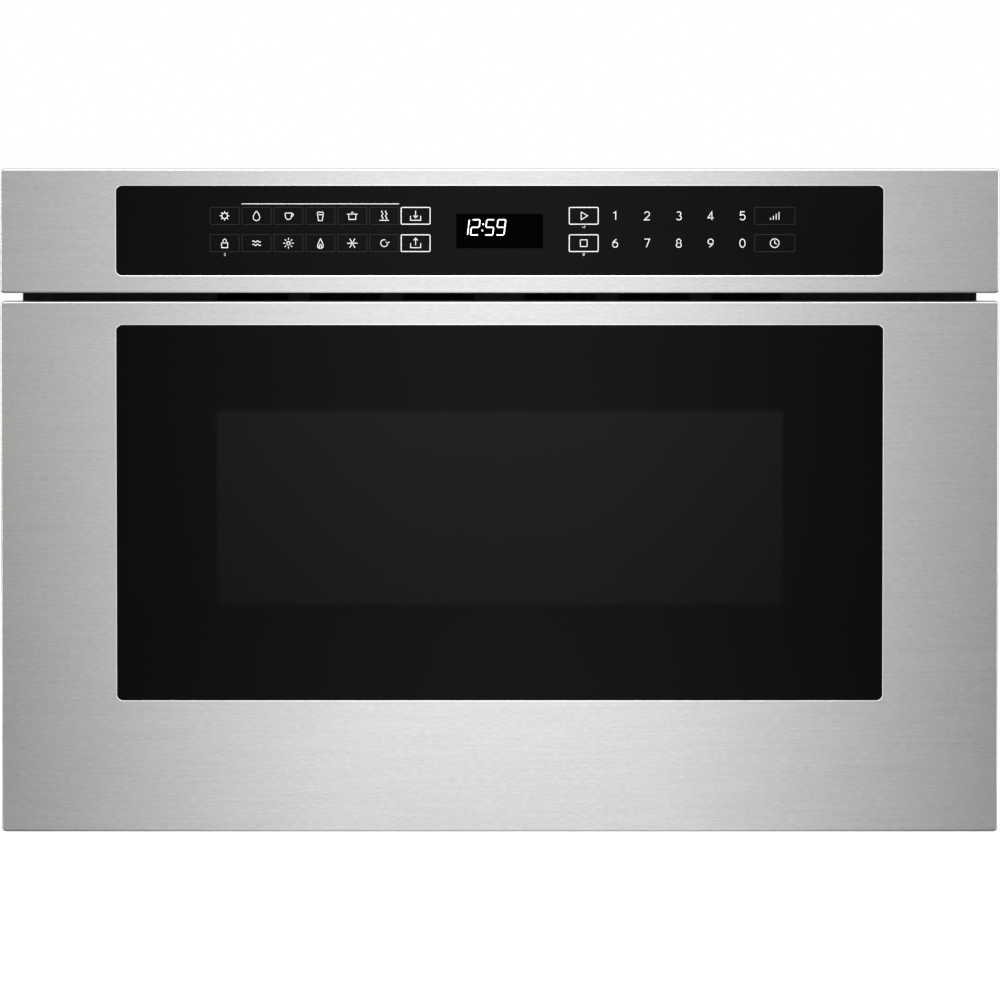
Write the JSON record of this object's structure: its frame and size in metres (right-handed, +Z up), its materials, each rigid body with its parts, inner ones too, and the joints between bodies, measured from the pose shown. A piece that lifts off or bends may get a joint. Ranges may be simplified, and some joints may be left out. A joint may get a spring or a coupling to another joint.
{
  "type": "microwave drawer",
  "caption": "Built-in microwave drawer: brushed steel fascia with dark touch glass above a motor-driven drawer front with a dark window, in a sheet-steel chassis.",
  "frame": {"origin": "under the middle of the whole product, level with the lowest edge of the drawer front", "axes": "+X to the right seen from the front, +Y into the cabinet, +Z up"},
  "size_m": [0.6064, 0.5936, 0.4032],
  "materials": {
    "brushed_stainless": "brushed",
    "dark_glass": "gloss",
    "clear_glass": "clear",
    "black_painted_steel": "satin",
    "galvanised_steel": "galvanised",
    "cavity_paint": "satin",
    "pan_coating": "satin",
    "black_plastic": "matte",
    "white_plastic": "matte",
    "zinc_plated_steel": "zinc plated",
    "glass_ceramic": "gloss",
    "mica": "matte",
    "aluminium_fins": "satin",
    "laminated_core": "matte",
    "capacitor_can": "satin",
    "circuit_board": "matte",
    "display_lens": "gloss",
    "screen_steel": "matte",
    "silicone": "matte"
  },
  "bodies": {
    "cabinet": {"base_pan": "galvanised_steel", "outer_cover": "galvanised_steel", "rear_panel": "galvanised_steel", "cord_gland": "silicone", "front_frame": "black_painted_steel", "mounting_flange_right": "black_painted_steel", "mounting_flange_left": "black_painted_steel", "front_vent_strip": "black_plastic", "oven_cavity": "cavity_paint", "stirrer_cover": "mica", "cavity_supports": "galvanised_steel", "waveguide": "galvanised_steel", "magnetron": "aluminium_fins", "stirrer_motor": "white_plastic", "high_voltage_transformer": "laminated_core", "high_voltage_capacitor": "capacitor_can", "high_voltage_diode": "black_plastic", "fan_motor": "laminated_core", "fan_shroud": "black_plastic", "air_duct": "black_plastic", "exhaust_duct": "black_plastic", "noise_filter_board": "circuit_board", "drive_motor": "zinc_plated_steel", "rack_guide": "galvanised_steel", "slide_supports": "galvanised_steel", "slide_outer_right": "zinc_plated_steel", "slide_outer_left": "zinc_plated_steel", "interlock_switches": "black_plastic", "control_fascia": "brushed_stainless", "control_glass": "dark_glass", "control_housing": "black_plastic", "display_module": "display_lens", "control_board": "circuit_board", "oven_lamp": "white_plastic", "humidity_sensor": "white_plastic", "thermal_cutouts": "white_plastic"},
    "drawer": {"drawer_front_panel": "brushed_stainless", "window_glass": "dark_glass", "door_carrier": "black_plastic", "door_frame": "black_painted_steel", "choke_cover": "black_plastic", "perforated_screen": "screen_steel", "inner_window": "clear_glass", "door_bracket_right": "black_painted_steel", "door_bracket_left": "black_painted_steel", "latch_hooks": "black_plastic", "drawer_pan": "pan_coating", "ceramic_plate": "glass_ceramic", "drive_rack": "white_plastic", "slide_inner_right": "zinc_plated_steel", "slide_inner_left": "zinc_plated_steel"},
    "middle_slide_right": {"slide_middle_right": "zinc_plated_steel"},
    "middle_slide_left": {"slide_middle_left": "zinc_plated_steel"},
    "outer_cage_right": {"ball_cage_outer_right": "zinc_plated_steel"},
    "outer_cage_left": {"ball_cage_outer_left": "zinc_plated_steel"},
    "inner_cage_right": {"ball_cage_inner_right": "zinc_plated_steel"},
    "inner_cage_left": {"ball_cage_inner_left": "zinc_plated_steel"},
    "pinion": {"drive_pinion": "white_plastic"},
    "fan": {"fan_blade": "white_plastic"},
    "stirrer": {"stirrer_fan": "aluminium_fins"}
  },
  "joints": [
    {"name": "drawer_slide", "type": "slide", "parent": "cabinet", "child": "drawer", "axis": [0, -1, 0], "range_m": [0, 0.38]},
    {"name": "middle_slide_right_travel", "type": "slide", "parent": "cabinet", "child": "middle_slide_right", "axis": [0, -1, 0], "range_m": [0, 0.19]},
    {"name": "outer_cage_right_travel", "type": "slide", "parent": "cabinet", "child": "outer_cage_right", "axis": [0, -1, 0], "range_m": [0, 0.095]},
    {"name": "inner_cage_right_travel", "type": "slide", "parent": "cabinet", "child": "inner_cage_right", "axis": [0, -1, 0], "range_m": [0, 0.285]},
    {"name": "middle_slide_left_travel", "type": "slide", "parent": "cabinet", "child": "middle_slide_left", "axis": [0, -1, 0], "range_m": [0, 0.19]},
    {"name": "outer_cage_left_travel", "type": "slide", "parent": "cabinet", "child": "outer_cage_left", "axis": [0, -1, 0], "range_m": [0, 0.095]},
    {"name": "inner_cage_left_travel", "type": "slide", "parent": "cabinet", "child": "inner_cage_left", "axis": [0, -1, 0], "range_m": [0, 0.285]},
    {"name": "pinion_turn", "type": "hinge", "parent": "cabinet", "child": "pinion", "pos_m": [0, -0.22385, 0.04], "axis": [1, 0, 0], "range_deg": [0, 1210]},
    {"name": "fan_turn", "type": "hinge", "parent": "cabinet", "child": "fan", "pos_m": [0.096, 0.22355, 0.215], "axis": [1, 0, 0], "continuous": true},
    {"name": "stirrer_turn", "type": "hinge", "parent": "cabinet", "child": "stirrer", "pos_m": [0, -0.0567, 0.288], "axis": [0, 0, 1], "continuous": true}
  ],
  "couplings": [
    {"joint": "middle_slide_right_travel", "follows": "drawer_slide", "ratio": 0.5},
    {"joint": "outer_cage_right_travel", "follows": "drawer_slide", "ratio": 0.25},
    {"joint": "inner_cage_right_travel", "follows": "drawer_slide", "ratio": 0.75},
    {"joint": "middle_slide_left_travel", "follows": "drawer_slide", "ratio": 0.5},
    {"joint": "outer_cage_left_travel", "follows": "drawer_slide", "ratio": 0.25},
    {"joint": "inner_cage_left_travel", "follows": "drawer_slide", "ratio": 0.75},
    {"joint": "pinion_turn", "follows": "drawer_slide", "rad_per_m": 55.556}
  ]
}
